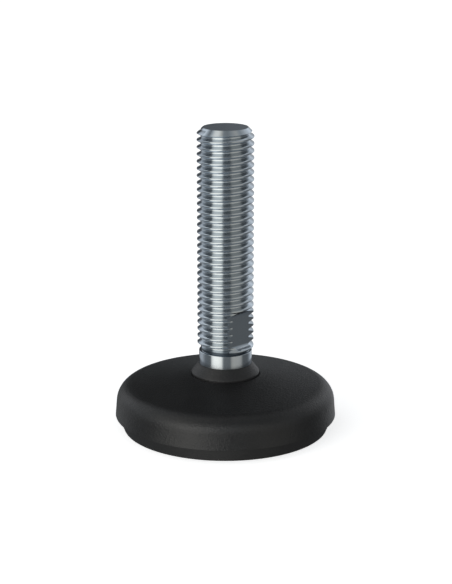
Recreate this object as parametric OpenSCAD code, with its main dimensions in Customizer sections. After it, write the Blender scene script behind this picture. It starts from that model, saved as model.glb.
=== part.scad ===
// Machine foot: a levelling foot whose threaded stud stands in a ball joint on a round plastic plate.
// Millimetres. The origin is the middle of the rubber pad's underside, on the floor, and +Z is up.

/* [Threaded stud] */
// Nominal diameter of the thread
thread_d = 20; // [18:0.5:22]
// Pitch of the thread, which sets how deep its run-out groove and its end chamfer go
thread_pitch = 2.5; // [2:0.25:3]
// Length of the thread, from the run-out groove to the top end
thread_len = 78.5; // [40:0.1:150]
// Distance from the top end down to the middle of the thread's first whole crest
first_crest = 3.8; // [2.6:0.1:6]
// How much thinner the plain shank is than the thread, on the diameter
shank_step = 1.2; // [0.8:0.1:2]
// Height of the plain shank between the ball and the run-out groove
shank_h = 4.8; // [3:0.1:10]
// Width of the run-out groove under the thread
groove_w = 1.4; // [0.8:0.1:2]
// Width across the two wrench flats
flats_af = 15; // [14:0.5:17]
// Length of the wrench flats
flats_len = 13.5; // [10:0.5:20]
// Height of the lower end of the wrench flats above the run-out groove
flats_rise = 0.6; // [0.5:0.1:5]
// Corner radius that the cutter leaves at both ends of a wrench flat
flats_corner_r = 1.6; // [0.5:0.1:3]
// Direction that the first wrench flat faces, in degrees from +X
flats_angle = -45; // [-90:5:90]
// Diameter of the pin under the shank, which turns in the ball
pin_d = 12; // [11:0.5:14]
// Chamfer on the turned edges of the shank and the pin
edge_chamfer = 0.1; // [0.1:0.1:0.5]

/* [Ball] */
// Diameter of the ball
ball_d = 24.2; // [23:0.1:27]
// Height of the cone on top of the ball, above the ball's centre
cone_h = 3.5; // [2.5:0.1:6]
// Width of the land round the shank on top of the cone
cone_land = 0.1; // [0:0.1:0.5]
// Radius of the rounded edge between the cone and the ball
cone_edge_r = 0.6; // [0.3:0.1:1]
// Distance from the ball's centre down to its flat underside
ball_cut = 8.6; // [7.5:0.1:9.5]
// Depth of the pin's end inside the ball's flat underside
pin_recess = 0.5; // [0.2:0.1:1.5]

/* [Ball joint] */
// Largest tilt of the stud to either side, in degrees
tilt_max = 7.5; // [5:0.5:9]
// Play between the round faces that slide on each other
slide_gap = 0.15; // [0.15:0.05:0.4]
// Play between the pin and its bore, on the radius
pin_gap = 0.05; // [0.03:0.01:0.1]
// Play round the neck and the washer at full tilt
swing_gap = 0.4; // [0.3:0.1:1]

/* [Foot plate] */
// Diameter of the plate across the lower edge of its rim
plate_d = 78.8; // [72:0.2:100]
// Height of the plate from its lower edge to the mouth of the socket
plate_h = 14.8; // [13:0.1:17]
// Draft of the rim, in degrees
rim_draft = 4.8; // [1:0.2:8]
// Fall of the plate's top from the socket to the rim, in degrees
top_slope = 9.5; // [6:0.5:12]
// Radius of the rounded shoulder between the top and the rim
shoulder_r = 6.3; // [4:0.1:8]
// Wall thickness of the moulding
wall_t = 3; // [2:0.1:3.5]
// Height of the ball's centre above the mouth of the socket
ball_rise = 0.5; // [0.3:0.1:1.5]
// Thickness of the socket's floor, which the joint is pulled against
floor_t = 2.3; // [1.8:0.1:2.8]
// Rounding of the mouth of the socket
mouth_r = 0.2; // [0.2:0.1:0.6]
// Number of radial ribs under the plate
rib_count = 8; // [6:2:12]
// Thickness of the radial ribs and of the ring rib
rib_t = 2; // [1.5:0.1:3]
// Radius of the middle of the ring rib
ring_rib_r = 25; // [22:0.5:28]

/* [Joint screw and washer] */
// Nominal diameter of the screw's thread
screw_d = 6; // [5:0.5:7]
// Length of the screw's thread
screw_len = 9; // [6:0.5:11]
// Diameter of the plain neck that the washer sits round
neck_d = 8; // [7.5:0.1:9]
// Diameter of the screw's dished head
head_d = 17; // [16:0.5:18]
// Thickness of the screw's dished head
head_t = 2; // [1.6:0.1:2.4]
// Width across the flats of the hexagon socket in the screw's head
socket_af = 5; // [4:0.5:5.5]
// Depth of the hexagon socket
socket_depth = 3; // [2:0.1:4]
// Outer diameter of the dished washer
washer_d = 21; // [19:0.5:23]
// Thickness of the dished washer
washer_t = 1.2; // [0.8:0.1:1.5]
// Play between the screw's thread and the stud's tapped hole, on the radius
screw_gap = 0.05; // [0.03:0.01:0.1]
// Extra depth of the tapped hole past the screw's end
tap_extra = 2; // [1:0.5:4]

/* [Anti-slip pad] */
// Thickness of the pad where it shows below the plate
pad_t = 4.8; // [4:0.1:8]
// How far the plate's rim stands out past the pad's upper edge
pad_inset = 0.9; // [0.5:0.1:2]
// How far the pad draws in from its upper edge to the floor
pad_taper = 2; // [0:0.1:3]
// Height of the lip that holds the pad inside the rim
lip_h = 2.5; // [1.5:0.1:3.5]
// Thickness of the lip
lip_t = 2.5; // [1.5:0.1:3]
// Play between the lip and the plate
lip_gap = 0.15; // [0.1:0.05:0.3]
// Number of anti-slip grooves in the underside
groove_count = 3; // [2:1:4]
// Width of one anti-slip groove
tread_w = 1.6; // [1:0.1:2.5]
// Depth of one anti-slip groove
tread_depth = 1.2; // [0.5:0.1:2]

/* [Hidden] */
$fn = 96;

// Steps round the stud, fewer because its thread has many narrow faces
stud_steps = 48;

// Cutting shapes reach this far past the faces that they cut
past = 1;

// Radii
thread_r = thread_d / 2;
thread_flank = 30;
crest_land = thread_pitch / 8;
thread_depth = 0.6134 * thread_pitch;
groove_r = thread_r - thread_depth;
end_chamfer = thread_depth + 0.5;
shank_r = thread_r - shank_step / 2;
pin_r = pin_d / 2;
ball_r = ball_d / 2;
neck_r = neck_d / 2;
head_r = head_d / 2;
washer_r = washer_d / 2;
rim_r = plate_d / 2;

// Levels above the floor
mouth_z = pad_t + plate_h;
ball_z = mouth_z + ball_rise;
cone_z = ball_z + cone_h;
pin_end_z = ball_z - ball_cut + pin_recess;
shank_z = cone_z + shank_h;
thread_z = shank_z + groove_w;
stud_top_z = thread_z + thread_len;
top_root_z = stud_top_z - first_crest + thread_pitch / 2;
root_count = floor((top_root_z - thread_z) / thread_pitch) + 1;

// Radii of the round faces about the ball's centre, from the ball outwards
socket_r = ball_r + slide_gap;
floor_r = socket_r + floor_t;
washer_in_r = floor_r + slide_gap;
washer_out_r = washer_in_r + washer_t;
head_in_r = washer_out_r + slide_gap;
head_out_r = head_in_r + head_t;

// Hole that lets the neck swing, and room round the washer and the swinging head
swing_hole_r = neck_r * cos(tilt_max) + washer_out_r * sin(tilt_max) + swing_gap;
head_reach = head_out_r * sin(asin(head_r / head_out_r) + tilt_max);
recess_r = max(washer_r, head_reach) + 4 * swing_gap;
recess_top_z = ball_z - floor_r / 2;
boss_r = max(socket_r, recess_r) + wall_t;

// Rounded shoulder of the plate: its centre is one radius inside the rim's line and the top's line
rim_normal = [cos(rim_draft), sin(rim_draft)];
top_normal = [sin(top_slope), cos(top_slope)];
rim_reach = rim_normal * [rim_r, pad_t] - shoulder_r;
top_reach = top_normal * [socket_r, mouth_z] - shoulder_r;
shoulder_centre = [
    rim_reach * top_normal[1] - top_reach * rim_normal[1],
    top_reach * rim_normal[0] - rim_reach * top_normal[0]
] / cos(rim_draft + top_slope);

// Pad
pad_top_r = rim_r - pad_inset;
pad_floor_r = pad_top_r - pad_taper;
rim_inside_r = rim_r - wall_t / cos(rim_draft) - lip_h * tan(rim_draft);
lip_r = rim_inside_r - lip_gap;
tread_step = (pad_floor_r - recess_r) / (groove_count + 1);

// Radius of the plate's outer wall at height z, moved in by inset
function rim_at(z, inset) = rim_r - inset / cos(rim_draft) - (z - pad_t) * tan(rim_draft);

// Height of the plate's top at radius r, moved down by inset
function top_at(r, inset) = mouth_z + (socket_r - r) * tan(top_slope) - inset / cos(top_slope);

// Half of the plate's outline, filled down to height low and moved in by inset
module dome_section(inset, low) {
    arc_r = shoulder_r - inset;
    rim_end = shoulder_centre + arc_r * rim_normal;
    top_end = shoulder_centre + arc_r * top_normal;
    corner = shoulder_centre + arc_r / cos((90 - rim_draft - top_slope) / 2)
        * [cos((90 + rim_draft - top_slope) / 2), sin((90 + rim_draft - top_slope) / 2)];
    polygon([[0, low], [rim_at(low, inset), low], rim_end, shoulder_centre, top_end, [0, top_at(0, inset)]]);
    intersection() {
        translate(shoulder_centre) circle(r = arc_r);
        polygon([shoulder_centre, rim_end, corner, top_end]);
    }
}

// Half of a shell about the ball's centre, between two radii, below the centre and up to reach from the axis
module bowl_section(inner_r, outer_r, hole_r, reach) {
    intersection() {
        difference() {
            translate([0, ball_z]) circle(r = outer_r);
            translate([0, ball_z]) circle(r = inner_r);
        }
        translate([hole_r, ball_z - outer_r - past]) square([reach - hole_r, outer_r + past]);
    }
}

// One wrench flat's cutter, seen along the flat: a slot with rounded inner corners
module flat_cutter_section() {
    low = thread_z + flats_rise;
    far = thread_r + past;
    translate([flats_af / 2, low]) {
        translate([flats_corner_r, 0]) square([far, flats_len]);
        translate([0, flats_corner_r]) square([far, flats_len - 2 * flats_corner_r]);
        translate([flats_corner_r, flats_corner_r]) circle(r = flats_corner_r);
        translate([flats_corner_r, flats_len - flats_corner_r]) circle(r = flats_corner_r);
    }
}

// Half section of the turned bar, before its thread is rolled
module bar_section() {
    polygon([
        [0, pin_end_z],
        [pin_r - edge_chamfer, pin_end_z],
        [pin_r, pin_end_z + edge_chamfer],
        [pin_r, cone_z],
        [shank_r, cone_z],
        [shank_r, shank_z - edge_chamfer],
        [shank_r - edge_chamfer, shank_z],
        [groove_r, shank_z],
        [groove_r, thread_z],
        [thread_r, thread_z],
        [thread_r, stud_top_z - end_chamfer],
        [thread_r - end_chamfer, stud_top_z],
        [0, stud_top_z]
    ]);
}

// One root of the thread, between two crests, about its own middle height
module root_section() {
    mouth_half = (thread_pitch - crest_land) / 2;
    root_half = mouth_half - thread_depth * tan(thread_flank);
    past_half = mouth_half + past * tan(thread_flank);
    polygon([
        [groove_r, -root_half],
        [thread_r + past, -past_half],
        [thread_r + past, past_half],
        [groove_r, root_half]
    ]);
}

// Steel stud, turned from one bar: thread, run-out groove, shank and the pin that turns in the ball.
// The thread's roots are rings one pitch apart, which stand for the helix of the real thread.
module stud() {
    color([0.62, 0.66, 0.70])
    difference() {
        rotate_extrude($fn = stud_steps)
        difference() {
            bar_section();
            for (k = [0 : root_count - 1])
                translate([0, top_root_z - k * thread_pitch])
                root_section();
        }
        for (turn = [0, 180])
            rotate([0, 0, flats_angle + turn])
            translate([0, thread_r, 0])
            rotate([90, 0, 0])
            linear_extrude(height = thread_d)
            flat_cutter_section();
        tapped_hole();
    }
}

// Blind tapped hole in the pin's end for the joint screw, with the drill's point
module tapped_hole() {
    hole_r = screw_d / 2 + screw_gap;
    end_z = pin_end_z + screw_len + tap_extra;
    rotate_extrude() polygon([
        [0, pin_end_z - past],
        [hole_r, pin_end_z - past],
        [hole_r, end_z],
        [0, end_z + hole_r * tan(31)]
    ]);
}

// Plastic ball with the cone on top and a bore right through for the stud's pin
module ball_hub() {
    edge_centre = [ball_r - cone_edge_r, ball_z];
    cone_top = [shank_r + cone_land, cone_z];
    to_top = cone_top - edge_centre;
    edge_angle = atan2(to_top[1], to_top[0]) - acos(cone_edge_r / norm(to_top));
    cone_foot = edge_centre + cone_edge_r * [cos(edge_angle), sin(edge_angle)];
    bore_r = pin_r + pin_gap;
    color([0.20, 0.20, 0.21])
    rotate_extrude()
    difference() {
        union() {
            polygon([[0, ball_z], edge_centre, cone_foot, cone_top, [0, cone_z]]);
            intersection() {
                translate(edge_centre) circle(r = cone_edge_r);
                translate(edge_centre) square(2 * cone_edge_r);
            }
            intersection() {
                translate([0, ball_z]) circle(r = ball_r);
                translate([0, ball_z - ball_cut]) square([ball_r + past, ball_cut]);
            }
        }
        translate([-past, ball_z - ball_cut - past]) square([bore_r + past, ball_cut + cone_h + 2 * past]);
    }
}

// Half section of the plate without its radial ribs
module plate_section() {
    difference() {
        dome_section(0, pad_t);
        // Open underside between the rim and the socket's boss, with the ring rib left standing
        difference() {
            dome_section(wall_t, pad_t - past);
            square([boss_r, mouth_z + ball_rise + past]);
            translate([ring_rib_r - rib_t / 2, 0]) square([rib_t, mouth_z]);
        }
        // Socket for the ball, and the rounded edge of its mouth
        translate([0, ball_z]) circle(r = socket_r);
        translate([0, mouth_z]) square([socket_r, boss_r]);
        mouth_rounding();
        // Room under the socket's floor for the washer and the screw's head
        difference() {
            translate([0, pad_t - past]) square([recess_r, recess_top_z - pad_t + past]);
            translate([0, ball_z]) circle(r = floor_r);
        }
        // Hole in the socket's floor for the neck
        translate([0, pad_t - past]) square([swing_hole_r, ball_z - pad_t]);
    }
}

// What is taken off the sharp edge where the socket meets the plate's top
module mouth_rounding() {
    centre_r = sqrt(socket_r * socket_r - pow(ball_rise + 2 * mouth_r, 2)) + mouth_r;
    centre = [centre_r, top_at(centre_r, mouth_r)];
    difference() {
        polygon([
            centre,
            centre - [mouth_r + past, 0],
            centre + [-mouth_r - past, mouth_r + past],
            centre + mouth_r * top_normal + [0, past],
            centre + mouth_r * top_normal
        ]);
        translate(centre) circle(r = mouth_r);
    }
}

// Moulded plate: domed skin, boss with the spherical socket, ring rib and radial ribs
module foot_plate() {
    rib_in_r = boss_r - wall_t / 2;
    color([0.13, 0.13, 0.14]) {
        rotate_extrude() plate_section();
        difference() {
            intersection() {
                for (turn = [0 : 360 / rib_count : 179])
                    rotate([0, 0, turn])
                    translate([-rim_r, -rib_t / 2, pad_t])
                    cube([plate_d, rib_t, plate_h]);
                rotate_extrude()
                difference() {
                    dome_section(wall_t / 2, pad_t);
                    square([rib_in_r, mouth_z + ball_rise + past]);
                }
            }
            // Ring-shaped space behind the rim for the pad's lip
            rotate_extrude()
            translate([lip_r - lip_t - lip_gap, pad_t - past])
            square([lip_t + 2 * lip_gap + wall_t / 4, lip_h + lip_gap + past]);
        }
    }
}

// Loose dished washer that spreads the screw's pull over the socket's floor
module keeper_washer() {
    color([0.55, 0.56, 0.58])
    rotate_extrude()
    bowl_section(washer_in_r, washer_out_r, swing_hole_r, washer_r);
}

// Joint screw from below: dished head, plain neck up to the pin's end, thread and hexagon socket
module retaining_screw() {
    head_z = ball_z - head_out_r;
    color([0.50, 0.51, 0.53])
    difference() {
        rotate_extrude() {
            bowl_section(head_in_r, head_out_r, 0, head_r);
            translate([0, head_z + head_t / 2]) square([neck_r, pin_end_z - head_z - head_t / 2]);
            translate([0, pin_end_z - past]) square([screw_d / 2, screw_len + past]);
        }
        translate([0, 0, head_z - past])
        linear_extrude(height = socket_depth + past)
        circle(d = socket_af / cos(30), $fn = 6);
    }
}

// Rubber pad under the plate, with a lip that holds it in the rim and round grooves in its underside
module anti_slip_pad() {
    color([0.10, 0.10, 0.10])
    rotate_extrude()
    difference() {
        union() {
            polygon([[recess_r, 0], [pad_floor_r, 0], [pad_top_r, pad_t], [recess_r, pad_t]]);
            translate([lip_r - lip_t, pad_t - past]) square([lip_t, lip_h + past]);
        }
        for (k = [1 : groove_count])
            translate([recess_r + k * tread_step - tread_w / 2, -past])
            square([tread_w, tread_depth + past]);
    }
}

stud();
ball_hub();
foot_plate();
keeper_washer();
retaining_screw();
anti_slip_pad();
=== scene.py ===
"""Looks of the machine foot: a threaded steel stud in a ball joint, on a plastic plate with a rubber pad."""

import math

import bmesh
import bpy
from mathutils import Matrix, Vector


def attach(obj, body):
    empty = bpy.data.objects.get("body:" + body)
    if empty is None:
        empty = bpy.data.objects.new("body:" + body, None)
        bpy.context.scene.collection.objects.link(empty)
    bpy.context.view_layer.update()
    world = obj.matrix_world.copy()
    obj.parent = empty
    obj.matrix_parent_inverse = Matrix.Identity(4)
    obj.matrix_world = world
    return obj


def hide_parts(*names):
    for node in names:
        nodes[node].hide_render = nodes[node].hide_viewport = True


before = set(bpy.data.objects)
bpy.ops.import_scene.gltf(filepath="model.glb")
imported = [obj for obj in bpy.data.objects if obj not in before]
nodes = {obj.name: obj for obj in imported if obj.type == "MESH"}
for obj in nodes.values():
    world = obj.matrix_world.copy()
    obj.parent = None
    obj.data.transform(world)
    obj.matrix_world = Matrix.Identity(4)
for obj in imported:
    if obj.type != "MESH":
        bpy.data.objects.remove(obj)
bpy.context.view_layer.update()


# Threaded stud: one steel bar, turned on a lathe, its thread rolled, two wrench flats milled near its lower
# end, then zinc plated and passivated to a bluish silver. Its pin goes down through the ball, where the joint
# screw holds it from below.
MM = 0.001  # sizes are in millimetres, and meshes in metres
STUD_STEPS = 128
THREAD_PITCH = 2.5
CREST_R = 9.97
ROOT_R = 8.52
THREAD_FLANK = math.radians(30)
ROOT_SHARE = 0.52  # of what the flanks leave of a pitch; the crest has the rest
ROOT_ROUND = 0.2
CREST_ROUND = 0.1
CREST_FALL = 0.04  # depth of the middle of the crest's round, in radii of that round
CREST_RISE = 0.35  # its height over the corner, in cuts of that corner
FRONT_CREST_Z = 104.52  # the highest whole crest, where the viewer sees it
FRONT_TURN = 0.75  # of a turn, from the thread's start round to the viewer
THREAD_TURNS = 35
GROOVE_R = 8.45
GROOVE_Z = 28.4
THREAD_Z = 29.8
SHANK_R = 9.4
PIN_R = 6.0
PIN_END_Z = 12.0
SHOULDER_Z = 23.6
STUD_TOP_Z = 108.3
TURNED_EDGE = 0.1
END_FACE_R = 7.97
BLANK_R = 10.3
TAPPED_R = 3.05
TAPPED_TOP_Z = 23.0
DRILL_POINT = 1.83
FLAT_REACH = 7.5
FLAT_LOW_Z = 30.4
FLAT_LENGTH = 13.5
CUTTER_ROUND = 1.6
CUTTER_DEPTH = 6
CUTTER_WIDTH = 30
FLAT_DIRECTION = math.radians(-45)
SHARP_EDGE = math.radians(28)
BEYOND = 1  # how far a tool reaches past the bar
TOUCHING = 1e-7  # metres within which two points are one
TURN_SEAM = 1e-6  # the same, where two turns of the thread meet
GROOVE_SHADE_EDGE = 0.05  # both ends of the groove's painted shade lie this much above the groove's ends
GROOVE_SHADE_DEPTH = 0.3  # what stands out less than this from the groove's wall gets the painted shade too
FACE_FEED = 1.37  # lathe rings on an end face, for each one along the bar
CLOUD_LOW, CLOUD_HIGH = 0.3, 0.7
STRAIGHT_ON, AT_A_SLANT = 0.1, 0.55
MIRROR_NEAR = 3  # mirrored from nearer than this, the stud has its near colour, a slightly darker painted shade
MIRROR_FAR = 5  # and from farther than this, its far colour, a much darker painted shade


def turned(name, outline, steps):
    """A closed solid of revolution about the upright axis, from its half outline in millimetres."""
    bm = bmesh.new()
    verts = [bm.verts.new((r * MM, 0, z * MM)) for r, z in outline]
    edges = [bm.edges.new(pair) for pair in zip(verts, verts[1:])]
    bmesh.ops.spin(
        bm, geom=verts + edges, cent=(0, 0, 0), axis=(0, 0, 1), angle=2 * math.pi, steps=steps, use_merge=True
    )
    return as_object(name, bm)


def as_object(name, bm):
    """Ends a piece's modelling: seams and poles closed, faces outwards, and the mesh put in the scene."""
    bmesh.ops.remove_doubles(bm, verts=bm.verts, dist=TOUCHING)
    bmesh.ops.recalc_face_normals(bm, faces=bm.faces)
    mesh = bpy.data.meshes.new(name)
    bm.to_mesh(mesh)
    bm.free()
    obj = bpy.data.objects.new(name, mesh)
    bpy.context.scene.collection.objects.link(obj)
    return obj


def cut(obj, tool, operation):
    """Cuts obj with the tool's solid, as a machine does, and takes the tool away."""
    modifier = obj.modifiers.new("cut", "BOOLEAN")
    modifier.operation = operation
    modifier.solver = "EXACT"
    modifier.object = tool
    bpy.context.view_layer.update()
    solid = bpy.data.meshes.new_from_object(obj.evaluated_get(bpy.context.evaluated_depsgraph_get()))
    obj.modifiers.clear()
    obj.data = solid
    bpy.data.objects.remove(tool)


def smooth_but_sharp(obj, angle):
    """Round faces are shaded smooth, and edges sharper than the angle stay crisp."""
    bm = bmesh.new()
    bm.from_mesh(obj.data)
    bmesh.ops.dissolve_degenerate(bm, dist=TOUCHING, edges=bm.edges)
    for face in bm.faces:
        face.smooth = True
    for edge in bm.edges:
        edge.smooth = edge.calc_face_angle(math.pi) < angle
    bm.to_mesh(obj.data)
    bm.free()


def thread_outline():
    """One pitch of the thread as (radius, height), from the middle of one root to the middle of the next.

    Root and crest share what the two flanks leave of the pitch, and the corners between them are rounded.
    """
    slope = math.tan(THREAD_FLANK)
    flank = (CREST_R - ROOT_R) * slope
    flat = (THREAD_PITCH - 2 * flank) / 2
    root_half = flat * ROOT_SHARE
    crest_half = flat - root_half
    lean_r, lean_z = math.cos(THREAD_FLANK), math.sin(THREAD_FLANK)
    root_cut = ROOT_ROUND * slope
    crest_cut = CREST_ROUND * slope
    lower = [
        (ROOT_R, 0),
        (ROOT_R, root_half - root_cut),
        (ROOT_R + ROOT_ROUND * (1 - lean_r), root_half - root_cut + ROOT_ROUND * lean_z),
        (ROOT_R + root_cut * lean_r, root_half + root_cut * lean_z),
        (CREST_R - crest_cut * lean_r, THREAD_PITCH / 2 - crest_half - crest_cut * lean_z),
        (CREST_R - CREST_ROUND * CREST_FALL, THREAD_PITCH / 2 - crest_half + crest_cut * CREST_RISE),
        (CREST_R, THREAD_PITCH / 2 - crest_half + crest_cut),
    ]
    upper = [(r, THREAD_PITCH - z) for r, z in reversed(lower)]
    return lower + upper


def thread_tool():
    """The thread as a solid to cut the blank with: a right-hand thread above, and full bar below it."""
    bm = bmesh.new()
    # The crest in front of the stud sets the turn of the whole thread, which starts below the groove.
    start_z = FRONT_CREST_Z - FRONT_TURN * THREAD_PITCH - THREAD_PITCH / 2
    start_z -= THREAD_PITCH * math.ceil((start_z - GROOVE_Z + 2 * THREAD_PITCH) / THREAD_PITCH)
    verts = [bm.verts.new((r * MM, 0, (start_z + z) * MM)) for r, z in thread_outline()]
    edges = [bm.edges.new(pair) for pair in zip(verts, verts[1:])]
    rise = THREAD_PITCH * MM
    bmesh.ops.spin(
        bm, geom=verts + edges, cent=(0, 0, 0), axis=(0, 0, 1), dvec=(0, 0, rise / STUD_STEPS),
        angle=2 * math.pi, steps=STUD_STEPS, use_merge=False,
    )
    one_turn = list(bm.verts) + list(bm.edges) + list(bm.faces)
    for turn in range(1, THREAD_TURNS):
        copy = bmesh.ops.duplicate(bm, geom=one_turn)["geom"]
        moved = [part for part in copy if isinstance(part, bmesh.types.BMVert)]
        bmesh.ops.translate(bm, verts=moved, vec=(0, 0, rise * turn))
    bmesh.ops.remove_doubles(bm, verts=bm.verts, dist=TURN_SEAM)
    low_z = (GROOVE_Z + THREAD_Z) / 2 * MM
    high_z = (STUD_TOP_Z + BEYOND) * MM
    for level, clears in ((low_z, {"clear_inner": True}), (high_z, {"clear_outer": True})):
        everything = list(bm.verts) + list(bm.edges) + list(bm.faces)
        bmesh.ops.bisect_plane(bm, geom=everything, plane_co=(0, 0, level), plane_no=(0, 0, 1), **clears)
    rim = [edge for edge in bm.edges if edge.is_boundary and edge.verts[0].co.z < low_z + MM]
    for level in (low_z, (PIN_END_Z - BEYOND) * MM):
        grown = bmesh.ops.extrude_edge_only(bm, edges=rim)["geom"]
        rim = [part for part in grown if isinstance(part, bmesh.types.BMEdge)]
        for vert in dict.fromkeys(vert for edge in rim for vert in edge.verts):
            side = vert.co.xy.normalized() * (BLANK_R + BEYOND) * MM
            vert.co = Vector((side.x, side.y, level))
    bmesh.ops.holes_fill(bm, edges=[edge for edge in bm.edges if edge.is_boundary], sides=0)
    return as_object("thread_tool", bm)


def flats_cutter():
    """Two end mills' paths, one on each side of the stud, with the round that they leave at both ends."""
    bm = bmesh.new()
    for direction in (FLAT_DIRECTION, FLAT_DIRECTION + math.pi):
        before = set(bm.verts)
        box = bmesh.ops.create_cube(bm, size=1)["verts"]
        size = Vector((CUTTER_DEPTH, CUTTER_WIDTH, FLAT_LENGTH)) * MM
        bmesh.ops.scale(bm, verts=box, vec=size)
        edges = dict.fromkeys(e for v in box for e in v.link_edges)
        inner = [e for e in edges if all(v.co.x < 0 for v in e.verts)]
        ends = [e for e in inner if abs(e.verts[0].co.z - e.verts[1].co.z) < TOUCHING]
        bmesh.ops.bevel(
            bm, geom=ends, offset=CUTTER_ROUND * MM, offset_type="OFFSET", segments=8, profile=0.5,
            affect="EDGES", material=-1,
        )
        made = [v for v in bm.verts if v not in before]
        middle = Vector((FLAT_REACH + CUTTER_DEPTH / 2, 0, FLAT_LOW_Z + FLAT_LENGTH / 2)) * MM
        bmesh.ops.translate(bm, verts=made, vec=middle)
        bmesh.ops.rotate(bm, verts=made, cent=(0, 0, 0), matrix=Matrix.Rotation(direction, 3, "Z"))
    return as_object("flats_cutter", bm)


stud = turned("threaded_stud", [
    (0, TAPPED_TOP_Z + DRILL_POINT),
    (TAPPED_R, TAPPED_TOP_Z),
    (TAPPED_R, PIN_END_Z + TURNED_EDGE),
    (TAPPED_R + TURNED_EDGE, PIN_END_Z),
    (PIN_R - TURNED_EDGE, PIN_END_Z),
    (PIN_R, PIN_END_Z + TURNED_EDGE),
    (PIN_R, SHOULDER_Z),
    (SHANK_R - TURNED_EDGE, SHOULDER_Z),
    (SHANK_R, SHOULDER_Z + TURNED_EDGE),
    (SHANK_R, GROOVE_Z - TURNED_EDGE),
    (SHANK_R - TURNED_EDGE, GROOVE_Z),
    (GROOVE_R + TURNED_EDGE, GROOVE_Z),
    (GROOVE_R, GROOVE_Z + TURNED_EDGE),
    (GROOVE_R, THREAD_Z),
    (BLANK_R, THREAD_Z),
    (BLANK_R, STUD_TOP_Z - (BLANK_R - END_FACE_R)),
    (END_FACE_R, STUD_TOP_Z),
    (0, STUD_TOP_Z),
], STUD_STEPS)
cut(stud, flats_cutter(), "DIFFERENCE")
cut(stud, thread_tool(), "INTERSECT")
smooth_but_sharp(stud, SHARP_EDGE)


def material_for(name):
    """A new material with its shader, and the surface's own coordinates to draw patterns on."""
    material = bpy.data.materials.new(name)
    material.use_nodes = True
    tree = material.node_tree
    place = tree.nodes.new("ShaderNodeTexCoord")
    return material, tree, tree.nodes["Principled BSDF"], place.outputs["Object"]


def ramp(tree, value, stops):
    """A colour that follows the value through the stops, each a place from 0 to 1 and a colour or grey."""
    node = tree.nodes.new("ShaderNodeValToRGB")
    while len(node.color_ramp.elements) < len(stops):
        node.color_ramp.elements.new(1)
    for element, (place, colour) in zip(node.color_ramp.elements, stops):
        element.position = place
        element.color = (*colour, 1) if isinstance(colour, tuple) else (colour, colour, colour, 1)
    tree.links.new(value, node.inputs["Fac"])
    return node.outputs["Color"]


def arithmetic(tree, operation, *values, clamp=False):
    """The result of a sum, a product or the like, of numbers and of other nodes' results."""
    node = tree.nodes.new("ShaderNodeMath")
    node.operation = operation
    node.use_clamp = clamp
    for socket, value in zip(node.inputs, values):
        if isinstance(value, (int, float)):
            socket.default_value = value
        else:
            tree.links.new(value, socket)
    return node.outputs["Value"]


def mixed(tree, share, first, second):
    """The first colour where the share is 0, the second where it is 1."""
    node = tree.nodes.new("ShaderNodeMix")
    node.data_type = "RGBA"
    tree.links.new(share, node.inputs[0])
    for socket, colour in ((node.inputs[6], first), (node.inputs[7], second)):
        if isinstance(colour, tuple):
            socket.default_value = (*colour, 1)
        else:
            tree.links.new(colour, socket)
    return node.outputs[2]


def bump(tree, shader, height, depth, strength):
    """Raises the surface by the height's pattern, at most by the depth in millimetres."""
    node = tree.nodes.new("ShaderNodeBump")
    node.inputs["Distance"].default_value = depth * MM
    node.inputs["Strength"].default_value = strength
    tree.links.new(height, node.inputs["Height"])
    tree.links.new(node.outputs["Normal"], shader.inputs["Normal"])


def worked_metal_group():
    """Marks of the lathe on plated steel: fine rings round the axis, and the cloudy tone of the zinc."""
    group = bpy.data.node_groups.new("worked_metal", "ShaderNodeTree")
    group.interface.new_socket("Vector", in_out="INPUT", socket_type="NodeSocketVector")
    rings = group.interface.new_socket("Rings per metre", in_out="INPUT", socket_type="NodeSocketFloat")
    rings.default_value = 6000
    group.interface.new_socket("Ring Height", in_out="OUTPUT", socket_type="NodeSocketFloat")
    group.interface.new_socket("Clouds", in_out="OUTPUT", socket_type="NodeSocketFloat")
    enter, leave = group.nodes.new("NodeGroupInput"), group.nodes.new("NodeGroupOutput")
    parts = group.nodes.new("ShaderNodeSeparateXYZ")
    group.links.new(enter.outputs["Vector"], parts.inputs["Vector"])
    level = group.nodes.new("ShaderNodeCombineXYZ")
    group.links.new(parts.outputs["X"], level.inputs["X"])
    group.links.new(parts.outputs["Y"], level.inputs["Y"])
    reach = group.nodes.new("ShaderNodeVectorMath")
    reach.operation = "LENGTH"
    group.links.new(level.outputs["Vector"], reach.inputs[0])
    along = arithmetic(group, "MULTIPLY_ADD", reach.outputs["Value"], FACE_FEED, parts.outputs["Z"])
    marks = group.nodes.new("ShaderNodeTexNoise")
    marks.noise_dimensions = "1D"
    marks.inputs["Detail"].default_value = 2
    group.links.new(along, marks.inputs["W"])
    group.links.new(enter.outputs["Rings per metre"], marks.inputs["Scale"])
    clouds = group.nodes.new("ShaderNodeTexNoise")
    clouds.inputs["Scale"].default_value = 260
    clouds.inputs["Detail"].default_value = 4
    group.links.new(enter.outputs["Vector"], clouds.inputs["Vector"])
    group.links.new(marks.outputs["Fac"], leave.inputs["Ring Height"])
    group.links.new(clouds.outputs["Fac"], leave.inputs["Clouds"])
    return group


worked_metal = worked_metal_group()


def groove_shade_mask(tree, place):
    """White on the wall of the run-out groove under the thread, where the steel gets a painted shade."""
    parts = tree.nodes.new("ShaderNodeSeparateXYZ")
    tree.links.new(place, parts.inputs["Vector"])
    above = arithmetic(tree, "GREATER_THAN", parts.outputs["Z"], (GROOVE_Z + GROOVE_SHADE_EDGE) * MM)
    under = arithmetic(tree, "LESS_THAN", parts.outputs["Z"], (THREAD_Z + GROOVE_SHADE_EDGE) * MM)
    squares = [arithmetic(tree, "POWER", parts.outputs[axis], 2) for axis in ("X", "Y")]
    reach = arithmetic(tree, "ADD", *squares)
    inside = arithmetic(tree, "LESS_THAN", reach, ((GROOVE_R + GROOVE_SHADE_DEPTH) * MM) ** 2)
    return arithmetic(tree, "MULTIPLY", arithmetic(tree, "MULTIPLY", above, under), inside)


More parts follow.
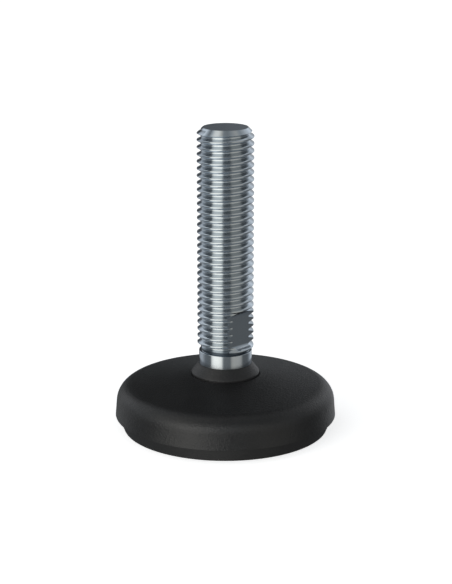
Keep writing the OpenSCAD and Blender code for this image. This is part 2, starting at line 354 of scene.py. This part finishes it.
def plated_steel(name, dark, light, slanted, rough_low, rough_high, rings, mirrored=None, undercut=None):
    """Plated steel with lathe marks, its tone drifting with the zinc's clouds, and bluer seen at a slant.

    Its mirror image is painted shade: one colour in near faces and a darker one in far ones, so that the
    bright stud leaves no streak on the plate. The undercut gives the groove's wall a painted shade colour and
    its roughness.
    """
    material, tree, shader, place = material_for(name)
    shader.inputs["Metallic"].default_value = 1
    marks = tree.nodes.new("ShaderNodeGroup")
    marks.node_tree = worked_metal
    marks.inputs["Rings per metre"].default_value = rings
    tree.links.new(place, marks.inputs["Vector"])
    straight = ramp(tree, marks.outputs["Clouds"], [(CLOUD_LOW, dark), (CLOUD_HIGH, light)])
    view = tree.nodes.new("ShaderNodeLayerWeight")
    slant = ramp(tree, view.outputs["Facing"], [(STRAIGHT_ON, 0), (AT_A_SLANT, 1)])
    colour = mixed(tree, slant, straight, slanted)
    rough = ramp(tree, marks.outputs["Clouds"], [(CLOUD_LOW, rough_high), (CLOUD_HIGH, rough_low)])
    # Painted shade on the stud's mirror image: darker than the steel as other faces see it, darker still from
    # afar.
    if mirrored:
        near_reflection_shade, far_reflection_shade = mirrored
        path = tree.nodes.new("ShaderNodeLightPath")
        far = tree.nodes.new("ShaderNodeMapRange")
        far.inputs["From Min"].default_value = MIRROR_NEAR * MM
        far.inputs["From Max"].default_value = MIRROR_FAR * MM
        tree.links.new(path.outputs["Ray Length"], far.inputs["Value"])
        image = mixed(tree, far.outputs["Result"], near_reflection_shade, far_reflection_shade)
        colour = mixed(tree, path.outputs["Is Glossy Ray"], colour, image)
    # Painted shade on the groove's wall under the thread: a dark colour there, with its own roughness.
    if undercut:
        groove_shade_colour, groove_rough = undercut
        groove_shade = groove_shade_mask(tree, place)
        colour = mixed(tree, groove_shade, colour, groove_shade_colour)
        rough = mixed(tree, groove_shade, rough, (groove_rough,) * 3)
    tree.links.new(colour, shader.inputs["Base Color"])
    tree.links.new(rough, shader.inputs["Roughness"])
    bump(tree, shader, marks.outputs["Ring Height"], depth=0.004, strength=0.5)
    return material


def finish(obj, material):
    """Gives a piece its material."""
    obj.data.materials.clear()
    obj.data.materials.append(material)


finish(stud, plated_steel(
    "zinc_steel", dark=(0.58, 0.62, 0.635), light=(0.62, 0.66, 0.67), slanted=(0.62, 0.70, 0.78),
    rough_low=0.1, rough_high=0.14, rings=6000,
    # painted shade: a darker mirror image of the stud, and a dark groove wall
    mirrored=((0.49, 0.52, 0.535), (0.14, 0.15, 0.16)), undercut=((0.085, 0.105, 0.125), 0.35),
))
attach(stud, "spindle")
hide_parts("stud")


# Ball: black polyamide, injection moulded, with the cone that shows round the shank and a bore for the stud's
# pin. It sits loose in its socket in the plate, and the joint screw keeps it from lifting out.
PATCH_LOW, PATCH_HIGH = 0.3, 0.7
GRAIN_LOW, GRAIN_HIGH = 0.25, 0.75


def moulded_grain_group():
    """Grain of a spark-eroded mould: fine, round-topped bumps, and broad faint patches of tone."""
    group = bpy.data.node_groups.new("moulded_grain", "ShaderNodeTree")
    group.interface.new_socket("Vector", in_out="INPUT", socket_type="NodeSocketVector")
    grains = group.interface.new_socket("Grains per metre", in_out="INPUT", socket_type="NodeSocketFloat")
    grains.default_value = 3000
    group.interface.new_socket("Grain Height", in_out="OUTPUT", socket_type="NodeSocketFloat")
    group.interface.new_socket("Patches", in_out="OUTPUT", socket_type="NodeSocketFloat")
    enter, leave = group.nodes.new("NodeGroupInput"), group.nodes.new("NodeGroupOutput")
    fine = group.nodes.new("ShaderNodeTexNoise")
    fine.inputs["Detail"].default_value = 3
    fine.inputs["Roughness"].default_value = 0.6
    group.links.new(enter.outputs["Vector"], fine.inputs["Vector"])
    group.links.new(enter.outputs["Grains per metre"], fine.inputs["Scale"])
    patches = group.nodes.new("ShaderNodeTexNoise")
    patches.inputs["Scale"].default_value = 90
    patches.inputs["Detail"].default_value = 3
    group.links.new(enter.outputs["Vector"], patches.inputs["Vector"])
    group.links.new(fine.outputs["Fac"], leave.inputs["Grain Height"])
    group.links.new(patches.outputs["Fac"], leave.inputs["Patches"])
    return group


moulded_grain = moulded_grain_group()


def moulded(name, dark, light, rough_low, rough_high, gloss, grains, depth):
    """A moulded black surface: tone and roughness drift a little over it, and the mould's grain raises it."""
    material, tree, shader, place = material_for(name)
    shader.inputs["Specular IOR Level"].default_value = gloss
    grain = tree.nodes.new("ShaderNodeGroup")
    grain.node_tree = moulded_grain
    grain.inputs["Grains per metre"].default_value = grains
    tree.links.new(place, grain.inputs["Vector"])
    colour = ramp(tree, grain.outputs["Patches"], [(PATCH_LOW, dark), (PATCH_HIGH, light)])
    rough = ramp(tree, grain.outputs["Grain Height"], [(GRAIN_LOW, rough_high), (GRAIN_HIGH, rough_low)])
    tree.links.new(colour, shader.inputs["Base Color"])
    tree.links.new(rough, shader.inputs["Roughness"])
    bump(tree, shader, grain.outputs["Grain Height"], depth, strength=0.6)
    return material


finish(nodes["ball_hub"], moulded(
    "hub_polyamide", dark=0.014, light=0.02, rough_low=0.34, rough_high=0.42, gloss=0.5,
    grains=1500, depth=0.3,
))


# Foot plate: black glass-filled polyamide, injection moulded in one shot, domed, with the socket for the ball
# in its middle and ribs underneath. The mould's fine grain leaves it dull.
finish(nodes["foot_plate"], moulded(
    "plate_polyamide", dark=0.007, light=0.012, rough_low=0.31, rough_high=0.39, gloss=0.55,
    grains=1500, depth=0.28,
))


# Dished washer: spring steel, pressed to the ball's shape and zinc plated. It lies loose under the socket's
# floor, where it slides as the stud tilts.
finish(nodes["keeper_washer"], plated_steel(
    "washer_zinc", dark=(0.5, 0.51, 0.53), light=(0.58, 0.59, 0.6), slanted=(0.48, 0.52, 0.6),
    rough_low=0.25, rough_high=0.35, rings=3000,
))


# Joint screw: steel, cold headed with a dished head and a hexagon socket, and zinc plated. It is driven up
# into the stud's pin from below, and holds washer, plate and ball together.
finish(nodes["retaining_screw"], plated_steel(
    "screw_zinc", dark=(0.46, 0.47, 0.49), light=(0.54, 0.55, 0.57), slanted=(0.44, 0.48, 0.56),
    rough_low=0.25, rough_high=0.35, rings=4000,
))


# Anti-slip pad: black nitrile rubber, moulded, with round grooves underneath. Its lip holds in the plate's
# rim, and the machine's weight presses it on.
finish(nodes["anti_slip_pad"], moulded(
    "nitrile_rubber", dark=0.013, light=0.018, rough_low=0.45, rough_high=0.55, gloss=0.34,
    grains=1800, depth=0.12,
))


# Studio: a white sweep without end, lit by tall soft boxes and panels round the foot. They are in the world,
# so that they stay soft and even, and the floor only takes the foot's shadow.
MIRRORED_WHITE = 0.02
FLOOR_R = 6
FLOOR_DROP = 0.2
FLOOR_GREY = 0.9
FLOOR_LIFT = 0.71


def studio_light():
    """Tall soft boxes on a dim surround, for all but the camera, which sees plain white behind the foot."""
    world = bpy.data.worlds.new("studio")
    bpy.context.scene.world = world
    world.use_nodes = True
    tree = world.node_tree
    tree.nodes.clear()
    link = tree.links.new
    place = tree.nodes.new("ShaderNodeTexCoord")
    parts = tree.nodes.new("ShaderNodeSeparateXYZ")
    link(place.outputs["Generated"], parts.inputs["Vector"])

    # The turn round the foot and the height over the floor run from 0 to 1, and are 0.5 in front and level.
    front = arithmetic(tree, "MULTIPLY", parts.outputs["Y"], -1)
    turn = arithmetic(tree, "ARCTAN2", parts.outputs["X"], front)
    turn = arithmetic(tree, "MULTIPLY_ADD", turn, 0.5 / math.pi, 0.5)
    height = arithmetic(tree, "ARCSINE", parts.outputs["Z"])
    height = arithmetic(tree, "MULTIPLY_ADD", height, 1 / math.pi, 0.5)

    def panels(stops):
        """Panels side by side round the foot: each stop is an angle, 0 in front of it, a level and a tint."""
        return ramp(tree, turn, [
            (0.5 + angle / 360, tuple(level * part for part in tint)) for angle, level, tint in stops
        ])

    def one_over_other(lower, upper, low_angle, high_angle):
        """The lower panels up to the low angle above the floor, then a soft change to the upper ones."""
        change = ramp(tree, height, [(0.5 + low_angle / 180, 0), (0.5 + high_angle / 180, 1)])
        return mixed(tree, change, lower, upper)

    grey = (0.95, 1, 1.04)
    lamp, side, dim = (1.01, 1, 0.97), (0.97, 1, 1.04), (0.92, 1, 1.08)
    below = panels([
        (-180, 0.1, dim), (-100, 0.17, dim), (-68, 0.19, dim), (-60, 0.95, lamp), (-50, 1.25, lamp),
        (-35, 1.34, lamp), (-18.5, 1.2, lamp), (-9.5, 0.34, dim), (-6, 0.28, dim), (20.5, 0.26, dim),
        (28, 0.42, lamp), (36, 0.45, lamp), (60, 0.43, lamp), (72.5, 0.36, lamp), (82, 0.085, dim),
        (180, 0.1, dim),
    ])
    at_floor = panels([
        (-180, 0.2, dim), (-160, 0.08, dim), (-150, 0.32, side), (-137, 0.42, side), (-120, 0.43, side),
        (-106, 0.25, side), (-98, 0.15, dim), (-84, 0.13, dim), (-68, 0.13, dim), (-60, 1.0, lamp),
        (-50, 1.3, lamp), (-35, 1.38, lamp), (-18.5, 1.22, lamp), (-9.5, 0.25, dim), (-6, 0.15, dim),
        (20.5, 0.13, dim), (28, 0.38, lamp), (36, 0.45, lamp), (60, 0.43, lamp), (72.5, 0.36, lamp),
        (82, 0.105, grey), (112, 0.1, grey), (126, 0.28, side), (140, 0.55, side), (155, 0.58, side),
        (167, 0.4, side), (180, 0.2, dim),
    ])
    at_eye_level = panels([
        (-180, 0.01, dim), (-157, 0.01, dim), (-150, 0.43, side), (-140, 0.92, side), (-126, 0.76, side),
        (-119, 0.6, dim), (-75, 0.5, dim), (-62, 2.0, lamp), (-52, 2.7, lamp), (-20, 2.5, lamp),
        (-8, 1.2, dim), (5, 0.9, dim), (20, 0.7, lamp), (45, 0.8, lamp), (60, 0.55, lamp),
        (80, 0.3, dim), (97, 0.3, dim), (109, 0.42, side), (121, 0.45, side), (130, 0.65, side),
        (140, 0.8, side), (152, 0.72, side), (163, 0.38, side), (174, 0.12, dim), (180, 0.03, dim),
    ])
    overhead = panels([
        (-180, 0.04, dim), (-142, 0.15, dim), (-134, 0.6, side), (-126, 0.82, side), (-118, 0.37, dim),
        (-109, 0.13, dim), (-101, 0.42, dim), (-93, 0.76, lamp), (-87, 0.9, lamp), (-71, 0.87, lamp),
        (-58, 0.62, lamp), (-46, 0.46, lamp), (-30, 0.27, dim), (-20, 0.23, dim), (35, 0.2, dim),
        (60, 0.27, dim), (91, 0.4, lamp), (107, 0.27, dim), (121, 0.4, side), (130, 0.55, side),
        (140, 0.3, side), (150, 0.08, dim), (180, 0.05, dim),
    ])
    level = one_over_other(below, at_floor, low_angle=-24, high_angle=-17.5)
    level = one_over_other(level, at_eye_level, low_angle=2, high_angle=16)
    level = one_over_other(level, overhead, low_angle=22, high_angle=40)
    boxes = tree.nodes.new("ShaderNodeBackground")
    boxes.inputs["Strength"].default_value = 1
    link(level, boxes.inputs["Color"])
    sweep = tree.nodes.new("ShaderNodeBackground")
    sweep.inputs["Color"].default_value = (1, 1, 1, 1)
    sweep.inputs["Strength"].default_value = 1
    path = tree.nodes.new("ShaderNodeLightPath")
    mirrored = arithmetic(tree, "ADD", path.outputs["Is Glossy Ray"], path.outputs["Is Transmission Ray"])
    camera_ray = path.outputs["Is Camera Ray"]
    seen = arithmetic(tree, "MULTIPLY_ADD", mirrored, MIRRORED_WHITE, camera_ray, clamp=True)
    mix = tree.nodes.new("ShaderNodeMixShader")
    link(seen, mix.inputs["Fac"])
    link(boxes.outputs["Background"], mix.inputs[1])
    link(sweep.outputs["Background"], mix.inputs[2])
    out = tree.nodes.new("ShaderNodeOutputWorld")
    link(mix.outputs["Shader"], out.inputs["Surface"])


def floor():
    """A white floor for the camera alone, clear from below so that the pad's underside can be looked at."""
    bm = bmesh.new()
    bmesh.ops.create_circle(bm, cap_ends=True, segments=64, radius=FLOOR_R)
    bmesh.ops.translate(bm, verts=bm.verts, vec=(0, 0, -FLOOR_DROP * MM))
    mesh = bpy.data.meshes.new("studio_floor")
    bm.to_mesh(mesh)
    bm.free()
    obj = bpy.data.objects.new("studio_floor", mesh)
    bpy.context.scene.collection.objects.link(obj)
    obj.visible_diffuse = obj.visible_glossy = obj.visible_transmission = obj.visible_shadow = False
    material = bpy.data.materials.new("white_sweep")
    material.use_nodes = True
    tree = material.node_tree
    tree.nodes.clear()
    matt = tree.nodes.new("ShaderNodeBsdfDiffuse")
    matt.inputs["Color"].default_value = (FLOOR_GREY, FLOOR_GREY, FLOOR_GREY, 1)
    glow = tree.nodes.new("ShaderNodeEmission")
    path = tree.nodes.new("ShaderNodeLightPath")
    lift = arithmetic(tree, "MULTIPLY", path.outputs["Is Camera Ray"], FLOOR_LIFT)
    tree.links.new(lift, glow.inputs["Strength"])
    both = tree.nodes.new("ShaderNodeAddShader")
    tree.links.new(matt.outputs["BSDF"], both.inputs[0])
    tree.links.new(glow.outputs["Emission"], both.inputs[1])
    clear = tree.nodes.new("ShaderNodeBsdfTransparent")
    side = tree.nodes.new("ShaderNodeNewGeometry")
    mix = tree.nodes.new("ShaderNodeMixShader")
    tree.links.new(side.outputs["Backfacing"], mix.inputs["Fac"])
    tree.links.new(both.outputs["Shader"], mix.inputs[1])
    tree.links.new(clear.outputs["BSDF"], mix.inputs[2])
    out = tree.nodes.new("ShaderNodeOutputMaterial")
    tree.links.new(mix.outputs["Shader"], out.inputs["Surface"])
    obj.data.materials.append(material)


studio_light()
floor()


# Camera: a long lens over half a metre in front of the foot and a little above it, tilted down to it. Place
# is in metres, tilt in degrees, the sensor in millimetres, and lens and offsets are in the photo's pixels.
CAMERA_DISTANCE = 0.56814
CAMERA_HEIGHT = 0.20817
CAMERA_TILT = 15.584
SENSOR = 36
PHOTO_HEIGHT = 584
LENS_PIXELS = 1672.05
AXIS_OFFSET = 0.54
LEVEL_OFFSET = -0.8
camera = bpy.data.objects.new("camera", bpy.data.cameras.new("camera"))
bpy.context.scene.collection.objects.link(camera)
camera.location = (0, -CAMERA_DISTANCE, CAMERA_HEIGHT)
camera.rotation_euler = (math.radians(90 - CAMERA_TILT), 0, 0)
camera.data.sensor_width = SENSOR
camera.data.lens = LENS_PIXELS * SENSOR / PHOTO_HEIGHT
camera.data.shift_x = AXIS_OFFSET / PHOTO_HEIGHT
camera.data.shift_y = LEVEL_OFFSET / PHOTO_HEIGHT
camera.data.clip_start = 0.01
camera.data.clip_end = 50
bpy.context.scene.camera = camera
bpy.context.scene.view_settings.view_transform = "Standard"
